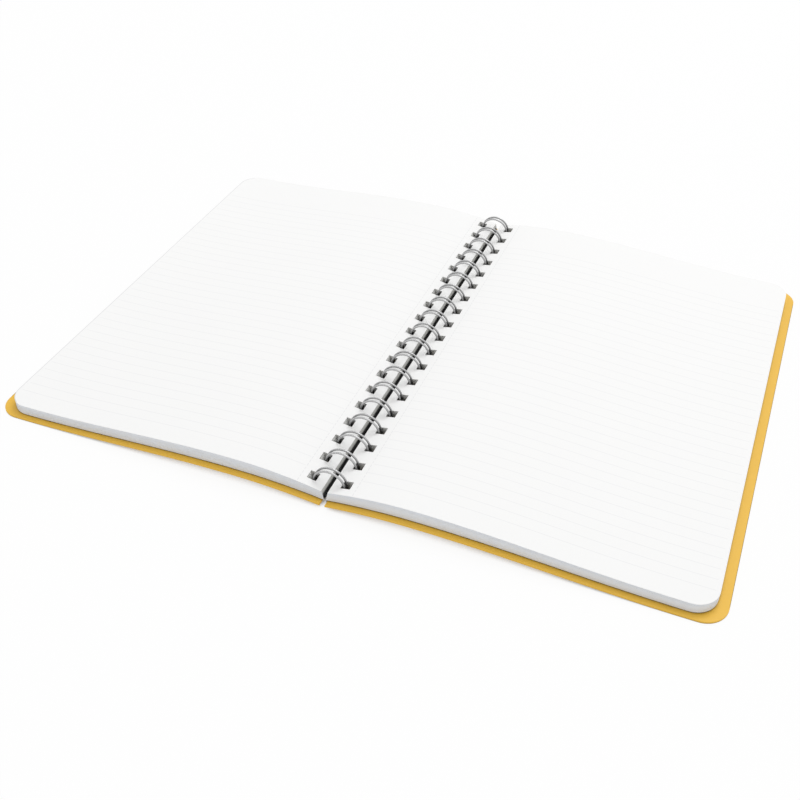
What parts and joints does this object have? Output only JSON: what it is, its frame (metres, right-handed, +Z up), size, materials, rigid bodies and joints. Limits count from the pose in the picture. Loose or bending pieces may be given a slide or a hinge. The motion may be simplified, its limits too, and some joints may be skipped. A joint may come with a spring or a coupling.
{
  "type": "open wire-bound notebook",
  "caption": "Open notebook: two arched stacks of punched, ruled pages and two plain rounded covers, hinged on a twin-loop wire.",
  "frame": {"origin": "on the table, under the middle of the spine", "axes": "+X to the right across the open pages, +Y along the spine to the head of the pages, +Z up"},
  "size_m": [0.3404, 0.247, 0.0162],
  "materials": {
    "cover_card": "smooth coated card",
    "page_paper": "matte writing paper",
    "binding_wire": "satin grey coated wire"
  },
  "bodies": {
    "binding": {"wire_binding": "binding_wire"},
    "front_side": {"front_cover": "cover_card"},
    "left_stack": {"left_pages": "page_paper"},
    "right_stack": {"right_pages": "page_paper"},
    "back_side": {"back_cover": "cover_card"}
  },
  "joints": [
    {"name": "front_cover_turn", "type": "hinge", "parent": "binding", "child": "front_side", "pos_m": [0, 0, 0.00814], "axis": [0, 1, 0], "range_deg": [0, 38]},
    {"name": "left_pages_turn", "type": "hinge", "parent": "front_side", "child": "left_stack", "pos_m": [0, 0, 0.00814], "axis": [0, 1, 0], "range_deg": [0, 38]},
    {"name": "back_cover_turn", "type": "hinge", "parent": "binding", "child": "back_side", "pos_m": [0, 0, 0.00814], "axis": [0, -1, 0], "range_deg": [0, 38]},
    {"name": "right_pages_turn", "type": "hinge", "parent": "back_side", "child": "right_stack", "pos_m": [0, 0, 0.00814], "axis": [0, -1, 0], "range_deg": [0, 38]}
  ]
}
